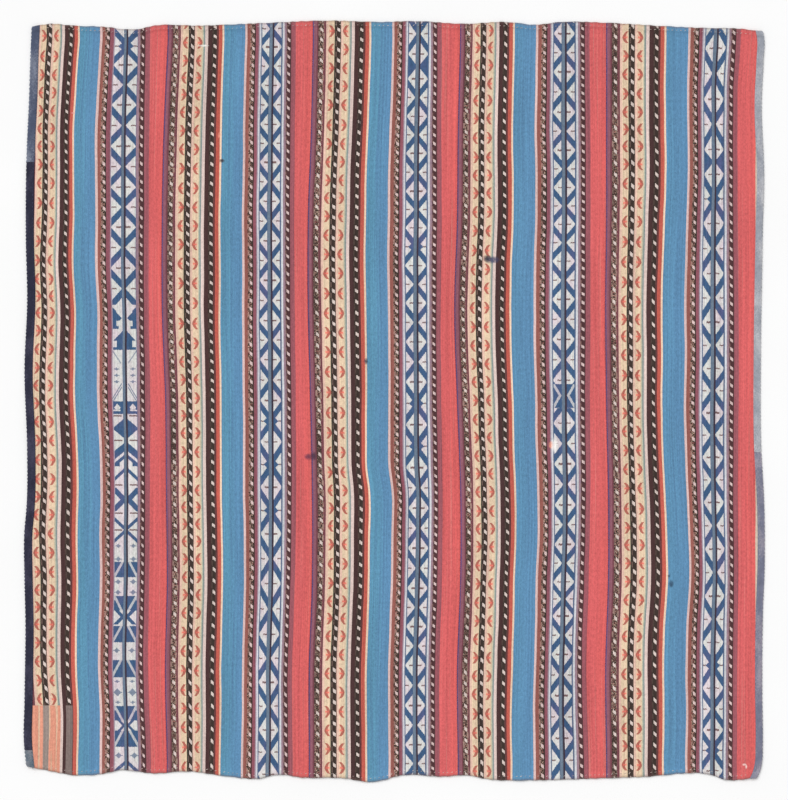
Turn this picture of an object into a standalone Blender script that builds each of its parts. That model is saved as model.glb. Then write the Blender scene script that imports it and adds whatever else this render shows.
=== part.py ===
"""A flat kilim rug: five long warp-striped strips sewn side by side, with cloth folded round both sides.

Metres, +Z up. X runs across the stripes, Y along them, and the rug lies on Z = 0, centred on its own box.
The tables are in millimetres, read off the rug's real outline, and every shape is worked out from them.
"""

import bmesh
import bpy
import numpy as np

MM = 0.001

# Thicknesses and widths, in millimetres
STRIP_CLOTH = 2.0  # one layer of the heavy warp-faced wool
HEM_EXTRA = 1.8  # what the turned-under end adds
HEM_DEPTH = 10.0
HEM_SLOPE = 4.0
BINDING_CLOTH = 0.8  # thin cotton tape
BINDING_WIDTHS = {1: 19.0, -1: 16.6}  # how far it reaches over the rug: on the left, on the right
PIECE_GAP = 0.3
EDGE_ROOM = 0.4  # between the strip's edge and the round of the fold
STEP_START = 21.0  # the bound edge is lifted by the tape under it, from here outwards
STEP_END = 28.0

# How finely the shapes follow their outlines
ROW_SPACING = 46.0
COLUMN_SPACING = 26.0
FOLD_STEPS = 4
SETTLE_PASSES = 4  # the sides depend on the ends and the ends on the sides, so both settle together

# Each edge: a place along it, and where the edge lies there
TOP_EDGE = (
    ("x", "y"),
    (-799, 823),
    (-757, 830),
    (-705, 826),
    (-647, 824),
    (-559, 819),
    (-533, 825),
    (-427, 826),
    (-282, 832),
    (-141, 837),
    (-31, 834),
    (48, 836),
    (153, 830),
    (246, 834),
    (312, 828),
    (365, 834),
    (470, 832),
    (576, 826),
    (673, 821),
    (761, 819),
    (804, 814),
)
BOTTOM_EDGE = (
    ("x", "y"),
    (-810, -802),
    (-757, -813),
    (-705, -822),
    (-647, -820),
    (-599, -811),
    (-533, -818),
    (-449, -814),
    (-374, -824),
    (-291, -829),
    (-256, -821),
    (-207, -827),
    (-110, -829),
    (-53, -837),
    (-22, -833),
    (4, -825),
    (114, -825),
    (153, -822),
    (206, -831),
    (321, -833),
    (453, -829),
    (562, -825),
    (642, -818),
    (681, -818),
    (734, -833),
    (787, -829),
)
LEFT_EDGE = (
    ("y", "x"),
    (-802, -810),
    (-756, -815),
    (-657, -814),
    (-481, -812),
    (-393, -814),
    (-283, -814),
    (-239, -810),
    (-107, -808),
    (69, -814),
    (223, -808),
    (355, -811),
    (553, -809),
    (663, -804),
    (784, -800),
    (823, -798),
)
RIGHT_EDGE = (
    ("y", "x"),
    (-829, 798),
    (-811, 806),
    (-789, 810),
    (-756, 811),
    (-635, 810),
    (-481, 811),
    (-349, 815.5),
    (-217, 814),
    (-107, 808),
    (113, 807),
    (267, 809),
    (377, 811),
    (487, 814),
    (663, 809),
    (751, 813),
    (799, 814),
    (814, 811),
)
SEAMS = (
    ("y", "seam 1", "seam 2", "seam 3", "seam 4"),
    (-789, -500, -188, 140, 466),
    (-591, -504, -188, 138, 464),
    (-393, -500, -181, 145, 470),
    (-195, -502, -181, 145, 470),
    (3, -504, -185, 138, 466),
    (201, -511, -190, 132, 464),
    (399, -511, -190, 138, 466),
    (597, -507, -183, 140, 466),
    (795, -498, -179, 145, 466),
)

# Where one length of binding ends and the next begins
LEFT_JOINS = (-767.0, 526.0)
RIGHT_JOINS = (-112.0,)

LEFT_NAMES = ("binding_left_bottom", "binding_left_middle", "binding_left_top")
RIGHT_NAMES = ("binding_right_bottom", "binding_right_top")

# Distances from an end or a side at which the shape changes
HEMMED_END = (0.0, HEM_DEPTH, HEM_DEPTH + HEM_SLOPE)
BOUND_SIDE = (0.0, STEP_START, STEP_END)
PLAIN_END = (0.0,)

STRIP_COLOUR = (0.32, 0.20, 0.22)
BINDING_COLOURS = {
    "binding_left_bottom": (0.10, 0.17, 0.20),
    "binding_left_middle": (0.025, 0.03, 0.06),
    "binding_left_top": (0.14, 0.17, 0.23),
    "binding_right_bottom": (0.15, 0.19, 0.27),
    "binding_right_top": (0.37, 0.41, 0.45),
}


def clear_scene():
    for old in list(bpy.data.objects):
        bpy.data.objects.remove(old, do_unlink=True)


def curve_through(table, column=1):
    """A smooth curve through one column of a table, level past both ends."""
    rows = np.array(table[1:], dtype=float)
    at = rows[:, 0]
    value = rows[:, column]
    slope = np.gradient(value, at)

    def read(place):
        place = np.clip(place, at[0], at[-1])
        i = np.clip(np.searchsorted(at, place, side="right") - 1, 0, len(at) - 2)
        width = at[i + 1] - at[i]
        t = (place - at[i]) / width
        from_start = (1 + 2 * t) * (1 - t) ** 2 * value[i] + t * (1 - t) ** 2 * width * slope[i]
        from_end = t**2 * (3 - 2 * t) * value[i + 1] - t**2 * (1 - t) * width * slope[i + 1]
        return from_start + from_end

    return read


top_edge = curve_through(TOP_EDGE)
bottom_edge = curve_through(BOTTOM_EDGE)
left_edge = curve_through(LEFT_EDGE)
right_edge = curve_through(RIGHT_EDGE)
seams = [curve_through(SEAMS, column) for column in range(1, len(SEAMS[0]))]
STRIPS = len(seams) + 1


def ramp(distance, start, end):
    """1 up to the start, 0 past the end, straight between."""
    return np.clip((end - distance) / (end - start), 0.0, 1.0)


def thickness_at(x, y):
    """One layer of cloth, and more in the hem along each end."""
    from_end = np.minimum(top_edge(x) - y, y - bottom_edge(x))
    return STRIP_CLOTH + HEM_EXTRA * ramp(from_end, HEM_DEPTH, HEM_DEPTH + HEM_SLOPE)


def binding_height_at(x, y):
    """The tape's height over all, with the rug's edge between its two layers."""
    return thickness_at(x, y) + 2 * (BINDING_CLOTH + PIECE_GAP)


def stations(low, high, near_low, near_high, spacing):
    """Places from low to high in each column: the given distances near both ends, even steps between."""
    start = low + near_low[-1]
    end = high - near_high[-1]
    steps = max(2, int(round(np.mean(end - start) / spacing)))
    shares = np.linspace(0.0, 1.0, steps + 1)
    places = [low + distance for distance in near_low[:-1]]
    places += [start + share * (end - start) for share in shares]
    places += [high - distance for distance in near_high[-2::-1]]
    return np.array(places)


def closed_sheet(name, lower, upper, colour):
    """A solid between two grids of points: a flat grid is shaped, then extruded to its other face."""
    rows, columns, _ = lower.shape
    lower = lower.reshape(-1, 3) * MM
    upper = upper.reshape(-1, 3) * MM
    sheet = bmesh.new()
    bmesh.ops.create_grid(sheet, x_segments=columns - 1, y_segments=rows - 1, size=1.0)
    place = sheet.verts.layers.int.new("place")
    for vert in sheet.verts:
        column = round((vert.co.x + 1.0) / 2.0 * (columns - 1))
        row = round((vert.co.y + 1.0) / 2.0 * (rows - 1))
        vert[place] = row * columns + column
        vert.co = lower[vert[place]]
    extruded = bmesh.ops.extrude_face_region(sheet, geom=sheet.faces[:], use_keep_orig=True)
    for vert in extruded["geom"]:
        if isinstance(vert, bmesh.types.BMVert):
            vert.co = upper[vert[place]]
    bmesh.ops.recalc_face_normals(sheet, faces=sheet.faces)
    mesh = bpy.data.meshes.new(name)
    sheet.to_mesh(mesh)
    sheet.free()
    mesh.materials.append(cloth_material(name, colour))
    piece = bpy.data.objects.new(name, mesh)
    bpy.context.scene.collection.objects.link(piece)


def cloth_material(name, colour):
    material = bpy.data.materials.new(name)
    material.use_nodes = True
    shader = material.node_tree.nodes["Principled BSDF"]
    shader.inputs["Base Color"].default_value = (*colour, 1.0)
    shader.inputs["Roughness"].default_value = 0.9
    shader.inputs["Metallic"].default_value = 0.0
    return material


def strip_left(number, x, y):
    """A strip's own left side: half a gap from its seam, or inside the fold of the binding."""
    if number == 1:
        return left_edge(y) + binding_height_at(x, y) / 2 + EDGE_ROOM
    return seams[number - 2](y) + PIECE_GAP / 2


def strip_right(number, x, y):
    if number == STRIPS:
        return right_edge(y) - binding_height_at(x, y) / 2 - EDGE_ROOM
    return seams[number - 1](y) - PIECE_GAP / 2


def woven_strip(number):
    """A long strip with a hem at each end. A side that is bound is lifted by the tape under it."""
    near_left = BOUND_SIDE if number == 1 else PLAIN_END
    near_right = BOUND_SIDE if number == STRIPS else PLAIN_END
    left = strip_left(number, 0.0, 0.0)
    right = strip_right(number, 0.0, 0.0)
    x = np.atleast_2d(stations(left, right, near_left, near_right, COLUMN_SPACING))
    share = (x - left) / (right - left)
    for _ in range(SETTLE_PASSES):
        y = stations(bottom_edge(x[0]), top_edge(x[-1]), HEMMED_END, HEMMED_END, ROW_SPACING)
        left = strip_left(number, x, y)
        right = strip_right(number, x, y)
        x = left + share * (right - left)
    lift = np.zeros_like(x)
    if number == 1:
        lift = ramp(x - left, STEP_START, STEP_END)
    if number == STRIPS:
        lift = ramp(right - x, STEP_START, STEP_END)
    bottom = (BINDING_CLOTH + PIECE_GAP) * lift
    lower = np.stack([x, y, bottom], axis=2)
    upper = np.stack([x, y, bottom + thickness_at(x, y)], axis=2)
    closed_sheet(f"strip_{number}", lower, upper, STRIP_COLOUR)


def folded_face(edge, side, low, high, near_low, near_high, depth):
    """One face of the tape, at a depth into its cloth: under the rug, round its edge, and on its top."""
    turn = np.linspace(-0.5 * np.pi, -1.5 * np.pi, FOLD_STEPS + 1)
    width = BINDING_WIDTHS[side]
    x = edge(0.0) + side * np.full((1, len(turn) + 2), width)
    for _ in range(SETTLE_PASSES):
        y = stations(low(x[0]), high(x[-1]), near_low, near_high, ROW_SPACING)
        height = binding_height_at(x + np.zeros_like(y), y)
        radius = height[:, 1:-1] / 2
        inward = np.full_like(y, width)
        inward[:, 1:-1] = radius + (radius - depth) * np.cos(turn)
        x = edge(y) + side * inward
    up = np.full_like(y, depth)
    up[:, 1:-1] = radius + (radius - depth) * np.sin(turn)
    up[:, -1] = height[:, -1] - depth
    return np.stack([x, y, up], axis=2)


def level(height):
    """A straight cut across the tape."""
    return lambda x: np.full_like(x, height)


def side_bindings(edge, side, joins, names):
    """The lengths of tape along one side, from the lower end up. Side is 1 on the left, -1 on the right."""
    lows = [bottom_edge] + [level(join + PIECE_GAP / 2) for join in joins]
    highs = [level(join - PIECE_GAP / 2) for join in joins] + [top_edge]
    for name, low, high in zip(names, lows, highs):
        near_low = HEMMED_END if low is bottom_edge else PLAIN_END
        near_high = HEMMED_END if high is top_edge else PLAIN_END
        run = (edge, side, low, high, near_low, near_high)
        inner = folded_face(*run, BINDING_CLOTH)
        outer = folded_face(*run, 0.0)
        closed_sheet(name, inner, outer, BINDING_COLOURS[name])


clear_scene()
for strip_number in range(1, STRIPS + 1):
    woven_strip(strip_number)
side_bindings(left_edge, 1, LEFT_JOINS, LEFT_NAMES)
side_bindings(right_edge, -1, RIGHT_JOINS, RIGHT_NAMES)
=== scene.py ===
# %% [markdown]
# This lesson dresses a flat kilim rug. The real one is five long strips of warp-faced wool,
# each woven about 32 cm wide on a narrow loom, sewn side by side, hemmed at both ends, and
# bound along both outer sides with folded cotton tape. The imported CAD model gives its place,
# outline and thickness. What is added here is what makes it a textile: the woven pattern,
# the rounded selvedges, the puckers beside each seam, and the sewing thread.

import math

import bpy
import numpy as np
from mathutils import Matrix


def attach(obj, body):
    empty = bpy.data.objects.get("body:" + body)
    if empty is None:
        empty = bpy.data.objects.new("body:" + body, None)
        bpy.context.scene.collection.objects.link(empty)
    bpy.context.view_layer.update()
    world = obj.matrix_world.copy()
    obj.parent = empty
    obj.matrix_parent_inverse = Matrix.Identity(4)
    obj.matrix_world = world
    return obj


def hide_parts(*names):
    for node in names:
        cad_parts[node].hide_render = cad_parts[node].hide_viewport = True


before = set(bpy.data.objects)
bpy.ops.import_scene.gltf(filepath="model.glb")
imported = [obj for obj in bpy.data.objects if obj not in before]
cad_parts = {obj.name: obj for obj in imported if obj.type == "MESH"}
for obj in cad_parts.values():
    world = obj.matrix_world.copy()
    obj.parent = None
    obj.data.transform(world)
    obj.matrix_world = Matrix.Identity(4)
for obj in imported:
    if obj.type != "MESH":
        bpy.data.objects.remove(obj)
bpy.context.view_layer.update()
MM = 0.001
print("CAD nodes:", sorted(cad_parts))

# %% [markdown]
# The rug was photographed from straight above, so the camera looks straight down. It stands
# six metres up with a long lens, which keeps the four sides of the rug as parallel as they
# are in the photo. The picture is 800 pixels high, and one pixel is 2.2 mm of rug.

# %% Camera
PIXEL = 2.2 * MM
PICTURE_HEIGHT = 800
CAMERA_HEIGHT = 6.0
# The rug lies a little off the middle of the photo, so the camera stands off by as much
CAMERA_SHIFT = (-0.00055, 0.00275)
SENSOR = 36.0
FARTHEST_SEEN = 50.0

lens = bpy.data.cameras.new("overhead_camera")
lens.sensor_width = SENSOR
lens.lens = SENSOR * CAMERA_HEIGHT / (PICTURE_HEIGHT * PIXEL)
lens.clip_end = FARTHEST_SEEN
camera = bpy.data.objects.new("overhead_camera", lens)
camera.location = (*CAMERA_SHIFT, CAMERA_HEIGHT)
bpy.context.scene.collection.objects.link(camera)
bpy.context.scene.camera = camera
print("lens in mm:", round(lens.lens, 1))

# %% [markdown]
# A copy stand lights a textile evenly from all around, with a little more from one side so
# that the weave shows. A white world does the even part, and one very soft sun, which is as
# strong at every corner of the rug, does the other. The floor is a plain pale sheet.

# %% Light and floor
WORLD_SHARE = 0.60
SUN_SHARE = 0.43
SUN_TILT = math.radians(38)
SUN_TURN = math.radians(35)
SUN_SPREAD = math.radians(40)
FLOOR_SIDE = 8.0
FLOOR_DROP = 0.0003
FLOOR_CORNERS = ((-1, -1), (1, -1), (1, 1), (-1, 1))

scene = bpy.context.scene
scene.view_settings.view_transform = "Standard"
world = bpy.data.worlds.new("even_light")
world.use_nodes = True
world.node_tree.nodes["Background"].inputs["Color"].default_value = (1.0, 1.0, 1.0, 1.0)
world.node_tree.nodes["Background"].inputs["Strength"].default_value = WORLD_SHARE
scene.world = world

sun = bpy.data.lights.new("soft_sun", "SUN")
sun.energy = SUN_SHARE * math.pi / math.cos(SUN_TILT)
sun.angle = SUN_SPREAD
sun_lamp = bpy.data.objects.new("soft_sun", sun)
sun_lamp.rotation_euler = (-SUN_TILT, 0.0, SUN_TURN)
scene.collection.objects.link(sun_lamp)

floor_mesh = bpy.data.meshes.new("floor")
floor_points = [(x * FLOOR_SIDE, y * FLOOR_SIDE, -FLOOR_DROP) for x, y in FLOOR_CORNERS]
floor_mesh.from_pydata(floor_points, [], [(0, 1, 2, 3)])
floor = bpy.data.objects.new("floor", floor_mesh)
scene.collection.objects.link(floor)

# %% [markdown]
# The outline of a hand-woven rug is never straight. These tables, in millimetres, say where
# each side lies at some places along it. Those of the outline and the seams are the ones that
# the CAD solids were made from. A smooth curve runs through each table, so that the cloth here
# ends where the solid ends. The bands of colour have tables of their own.

# %% Outline, seams and blue bands
TOP_EDGE = (
    (-799, 823), (-757, 830), (-705, 826), (-647, 824), (-559, 819), (-533, 825), (-427, 826),
    (-282, 832), (-141, 837), (-31, 834), (48, 836), (153, 830), (246, 834), (312, 828),
    (365, 834), (470, 832), (576, 826), (673, 821), (761, 819), (804, 814),
)
BOTTOM_EDGE = (
    (-810, -802), (-757, -813), (-705, -822), (-647, -820), (-599, -811), (-533, -818),
    (-449, -814), (-374, -824), (-291, -829), (-256, -821), (-207, -827), (-110, -829),
    (-53, -837), (-22, -833), (4, -825), (114, -825), (153, -822), (206, -831), (321, -833),
    (453, -829), (562, -825), (642, -818), (681, -818), (734, -833), (787, -829),
)
LEFT_EDGE = (
    (-802, -810), (-756, -815), (-657, -814), (-481, -812), (-393, -814), (-283, -814),
    (-239, -810), (-107, -808), (69, -814), (223, -808), (355, -811), (553, -809),
    (663, -804), (784, -800), (823, -798),
)
RIGHT_EDGE = (
    (-829, 798), (-811, 806), (-789, 810), (-756, 811), (-635, 810), (-481, 811),
    (-349, 815.5), (-217, 814), (-107, 808), (113, 807), (267, 809), (377, 811), (487, 814),
    (663, 809), (751, 813), (799, 814), (814, 811),
)
# A height on the rug, then the four seams there
SEAMS = (
    (-789, -500, -188, 140, 466),
    (-591, -504, -188, 138, 464),
    (-393, -500, -181, 145, 470),
    (-195, -502, -181, 145, 470),
    (3, -504, -185, 138, 466),
    (201, -511, -190, 132, 464),
    (399, -511, -190, 138, 466),
    (597, -507, -183, 140, 466),
    (795, -498, -179, 145, 466),
)
# A height on the rug, then the middle of the blue band of each strip there
BLUE_BANDS = (
    (-789, -672, -360, -35, 282, 617),
    (-690, -670, -357, -36, 281, 619),
    (-591, -674, -357, -36, 284, 618),
    (-492, -673, -355, -33, 287, 620),
    (-393, -670, -353, -30, 288, 627),
    (-294, -671, -354, -29, 292, 625),
    (-195, -669, -356, -29, 291, 620),
    (-141, -670, -356, -37, 289, 617),
    (-96, -672, -356, -37, 287, 615),
    (3, -678, -356, -36, 286, 613),
    (102, -678, -357, -36, 282, 615),
    (201, -677, -358, -37, 281, 614),
    (300, -683, -357, -39, 282, 616),
    (399, -682, -358, -38, 286, 620),
    (498, -683, -356, -37, 286, 624),
    (597, -683, -355, -33, 284, 623),
    (696, -677, -353, -29, 286, 622),
    (795, -670, -350, -26, 288, 624),
)
# A height on the rug, then the width of the red band of each strip there
RED_BANDS = (
    (-789, 35, 36, 41, 39, 40),
    (-591, 38, 37, 39, 42, 39),
    (-393, 39, 38, 41, 43, 37),
    (-195, 36, 35, 39, 39, 38),
    (3, 33, 32, 35, 36, 36),
    (201, 29, 29, 30, 33, 36),
    (399, 29, 30, 34, 35, 38),
    (597, 32, 36, 37, 35, 39),
    (795, 39, 38, 41, 37, 37),
)
# A height on the rug, then how far the first strip reaches to the left of its blue band's middle
FIRST_REACH = (
    (-789, 146), (-660, 148), (-457, 155), (-255, 160), (-52, 151), (150, 146), (352, 138),
    (555, 131), (757, 137),
)
STRIPS = 5


def curve_through(table, column=1):
    """A smooth curve through one column of a table, level past both ends."""
    rows = np.array(table, dtype=float)
    at = rows[:, 0]
    value = rows[:, column]
    slope = np.gradient(value, at)

    def read(place):
        place = np.clip(place, at[0], at[-1])
        i = np.clip(np.searchsorted(at, place, side="right") - 1, 0, len(at) - 2)
        width = at[i + 1] - at[i]
        t = (place - at[i]) / width
        from_start = (1 + 2 * t) * (1 - t) ** 2 * value[i] + t * (1 - t) ** 2 * width * slope[i]
        from_end = t**2 * (3 - 2 * t) * value[i + 1] - t**2 * (1 - t) * width * slope[i + 1]
        return from_start + from_end

    return read


top_edge = curve_through(TOP_EDGE)
bottom_edge = curve_through(BOTTOM_EDGE)
left_edge = curve_through(LEFT_EDGE)
right_edge = curve_through(RIGHT_EDGE)
seams = [curve_through(SEAMS, column) for column in range(1, STRIPS)]
blue_middles = [curve_through(BLUE_BANDS, column) for column in range(1, STRIPS + 1)]
red_widths = [curve_through(RED_BANDS, column) for column in range(1, STRIPS + 1)]
first_reach = curve_through(FIRST_REACH)
print("rug height at its middle, mm:", round(float(top_edge(0) - bottom_edge(0)), 1))

# %% [markdown]
# Heavy wool cloth doesn't lie like glass. It rises a little in slow waves, and it puckers
# beside each seam and hem, where the sewing thread is tighter than the cloth. One function
# gives that rise for any place on the rug, and the cloth, the tape and the thread all add
# it, so they stay together. The rise is never below zero, because the floor is there.

# %% Thickness and rise of the cloth
STRIP_CLOTH = 2.0
HEM_EXTRA = 1.8
HEM_DEPTH = 10.0
HEM_SLOPE = 4.0
TAPE_CLOTH = 0.8
TAPE_WIDTHS = {1: 19.0, -1: 16.6}
PIECE_GAP = 0.3
EDGE_ROOM = 0.4
STEP_START = 21.0
STEP_END = 28.0
# Height of each slow wave, its length, the way that it runs in radians, and where it starts
WAVES = ((0.9, 410, 0.3, 0.4), (0.6, 260, 1.3, 2.0), (0.35, 170, 2.4, 5.1), (0.3, 120, 0.9, 1.2))
WAVE_BEND = 2.3
WAVE_SHARE = 0.55
WAVE_BASE = 0.25
SEAM_PUCKER = 0.55
SEAM_PUCKER_STEP = 34.0
SEAM_PUCKER_SHIFT = 1.7
SEAM_PUCKER_REACH = 24.0
HEM_PUCKER = 0.9
HEM_PUCKER_STEP = 47.0
HEM_PUCKER_REACH = 40.0


def ramp(distance, start, end):
    """1 up to the start, 0 past the end, straight between."""
    return np.clip((end - distance) / (end - start), 0.0, 1.0)


def from_ends(x, y):
    return np.minimum(top_edge(x) - y, y - bottom_edge(x))


def thickness_at(x, y):
    """One layer of cloth, and more in the hem along each end."""
    return STRIP_CLOTH + HEM_EXTRA * ramp(from_ends(x, y), HEM_DEPTH, HEM_DEPTH + HEM_SLOPE)


def hand_wave(place, step, shift, drift_length, drift):
    """A wave from -1 to 1 with a step that drifts, as in anything done by hand."""
    return np.sin(place * 2 * math.pi / step + shift + np.sin(place / drift_length) * drift)


def slow_waves(x, y):
    rise = np.zeros(np.broadcast(x, y).shape)
    for height, length, turn, shift in WAVES:
        along = x * math.cos(turn) + y * math.sin(turn)
        across = y * math.cos(turn) - x * math.sin(turn)
        bend = np.sin(across / length * WAVE_BEND)
        rise = rise + height * np.sin(along * 2 * math.pi / length + shift + bend)
    return np.clip(WAVE_SHARE * rise + WAVE_BASE, 0.0, None)


def rise_at(x, y):
    """How far the cloth lifts off the floor."""
    rise = slow_waves(x, y)
    for number, seam in enumerate(seams):
        near = np.exp(-(((x - seam(y)) / SEAM_PUCKER_REACH) ** 2))
        wave = 0.5 + 0.5 * hand_wave(y, SEAM_PUCKER_STEP, number * SEAM_PUCKER_SHIFT, 90.0, 2)
        rise = rise + SEAM_PUCKER * near * wave
    near = np.exp(-((from_ends(x, y) / HEM_PUCKER_REACH) ** 2))
    wave = 0.5 + 0.5 * hand_wave(x, HEM_PUCKER_STEP, 0.0, 130.0, 3)
    return rise + HEM_PUCKER * near * wave


def tape_height_at(x, y):
    """The tape's height over all, with the rug's edge between its two layers."""
    return thickness_at(x, y) + 2 * (TAPE_CLOTH + PIECE_GAP)


# %% [markdown]
# Each piece of cloth is a thin closed shell: a grid of points for its upper face, the same
# grid for its lower face, and a rim between. Beside its shape it carries three things for
# its finish. The map named cloth gives the place on the weave in metres, so that the pattern
# follows the threads and not the room. Attributes carry numbers that change along the
# weave. The map named OFBake says how the finish is laid out in a picture when the model is
# exported: the upper face gets most of the room, in two halves side by side, because it is
# five times as long as it is wide.

# %% Closed cloth from two grids
# Where the lower and upper half of the upper face, and then of the lower face, start in the
# picture, and how wide each is there
BAKE_HALVES = ((0.012, 0.385), (0.412, 0.385), (0.812, 0.08), (0.908, 0.08))
BAKE_BOTTOM = 0.012
BAKE_HEIGHT = 0.976
BAKE_MARGIN = 0.006


def grid_faces(rows, columns):
    """Corner indices of the faces of a grid, as (face, 4)."""
    first = (np.arange(rows - 1)[:, None] * columns + np.arange(columns - 1)[None, :]).ravel()
    return np.stack([first, first + 1, first + 1 + columns, first + columns], axis=1)


def rim_points(rows, columns):
    """The grid's points round its edge, anticlockwise."""
    lower = np.arange(columns)
    right = np.arange(1, rows) * columns + columns - 1
    upper = (rows - 1) * columns + np.arange(columns - 2, -1, -1)
    left = np.arange(rows - 2, 0, -1) * columns
    return np.concatenate([lower, right, upper, left])


def half_maps(rows, columns):
    """Where each point of the grid lies in each of the four halves."""
    across = np.tile(np.linspace(0, 1, columns), rows)
    along = np.repeat(np.linspace(0, 1, rows), columns)
    middle = (rows // 2) / (rows - 1)
    places = []
    for number, (start, width) in enumerate(BAKE_HALVES):
        if number % 2 == 0:
            up = along / middle
        else:
            up = (along - middle) / (1 - middle)
        up = np.clip(up, 0, 1)
        side = across if number < 2 else 1 - across
        places.append(np.stack([start + width * side, BAKE_BOTTOM + BAKE_HEIGHT * up], axis=1))
    return places


def bake_map(rows, columns, faces, top_count):
    """The place of each face's corner in the picture. The rim lies as a margin round the upper face."""
    count = rows * columns
    corners = faces.ravel()
    on_grid = corners % count
    column = on_grid % columns
    row = on_grid // columns
    face_of_corner = np.repeat(np.arange(len(faces)), 4)
    face_row = np.min(faces % count, axis=1) // columns
    in_upper_half = (face_row >= rows // 2)[face_of_corner][:, None]
    is_bottom = (face_of_corner >= top_count) & (face_of_corner < 2 * top_count)
    places = half_maps(rows, columns)
    above = np.where(in_upper_half, places[1][on_grid], places[0][on_grid])
    under = np.where(in_upper_half, places[3][on_grid], places[2][on_grid])
    spot = np.where(is_bottom[:, None], under, above)

    on_outside = (corners >= count) & ~is_bottom
    along_side = np.ptp(faces % count, axis=1)[face_of_corner] >= columns
    spot[:, 0] += BAKE_MARGIN * (on_outside & along_side) * np.where(column == 0, -1, 1)
    spot[:, 1] += BAKE_MARGIN * (on_outside & ~along_side) * np.where(row == 0, -1, 1)
    return spot


def closed_cloth(name, lower, upper, cloth_map, attributes, material):
    """A shell from two grids of points in millimetres, with its maps and attributes."""
    rows, columns, _ = upper.shape
    count = rows * columns
    points = np.concatenate([upper.reshape(-1, 3), lower.reshape(-1, 3)]) * MM
    top = grid_faces(rows, columns)
    bottom = top[:, ::-1] + count
    rim = rim_points(rows, columns)
    following = np.roll(rim, -1)
    sides = np.stack([rim + count, following + count, following, rim], axis=1)
    faces = np.concatenate([top, bottom, sides])
    mesh = bpy.data.meshes.new(name)
    mesh.from_pydata(points.tolist(), [], faces.tolist())

    cloth = mesh.uv_layers.new(name="cloth")
    cloth.data.foreach_set("uv", (cloth_map.reshape(-1, 2)[faces.ravel() % count] * MM).ravel())
    bake = mesh.uv_layers.new(name="OFBake")
    spot = bake_map(rows, columns, faces, len(top))
    bake.data.foreach_set("uv", spot.astype(np.float32).ravel())
    for label, values in attributes.items():
        layer = mesh.attributes.new(label, "FLOAT", "POINT")
        layer.data.foreach_set("value", np.tile(values.ravel(), 2).astype(np.float32))
    mesh.polygons.foreach_set("use_smooth", np.ones(len(faces), bool))
    mesh.materials.append(material)
    mesh.validate()
    mesh.update()
    piece = bpy.data.objects.new(name, mesh)
    scene.collection.objects.link(piece)
    return piece


# %% [markdown]
# A material's sums are easiest to read as sums. The class below wraps one socket of a
# material, and arithmetic on it adds the Math node that does it, so a mask is written as
# abs(across) < 3. Every other node comes from the add method of the finish, which sets what
# the node is before it links what goes in.

# %% Finishes written as expressions
class Number:
    """A number that changes over the surface. Arithmetic on it adds Math nodes."""

    def __init__(self, finish, socket):
        self.finish = finish
        self.socket = socket

    def math(self, operation, *others):
        sockets = dict(enumerate((self, *others)))
        return self.finish.add("ShaderNodeMath", {"operation": operation}, sockets)

    def __add__(self, other):
        return self.math("ADD", other)

    __radd__ = __add__

    def __sub__(self, other):
        return self.math("SUBTRACT", other)

    def __rsub__(self, other):
        return self.math("MULTIPLY_ADD", -1.0, other)

    def __mul__(self, other):
        return self.math("MULTIPLY", other)

    __rmul__ = __mul__

    def __truediv__(self, other):
        return self.math("DIVIDE", other)

    def __mod__(self, other):
        return self.math("FLOORED_MODULO", other)

    def __lt__(self, other):
        return self.math("LESS_THAN", other)

    def __gt__(self, other):
        return self.math("GREATER_THAN", other)

    def __abs__(self):
        return self.math("ABSOLUTE")

    def __or__(self, other):
        return self.math("MAXIMUM", other)

    def __and__(self, other):
        return self.math("MINIMUM", other)

    def whole(self):
        return self.math("FLOOR")

    def part(self):
        return self.math("FRACT")

    def held(self):
        """The number, kept between 0 and 1."""
        return self & 1.0 | 0.0


# Sockets that share a name with others of their node, by their number
OBJECT_PLACE = 3
FACTOR_OUT = 2
MIX_BELOW = 6
MIX_ABOVE = 7
MIXED = 2
# How much cloth of this kind shines, and how widely its nap spreads the light
CLOTH_SHINE = 0.18
NAP_SPREAD = 0.6


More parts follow.
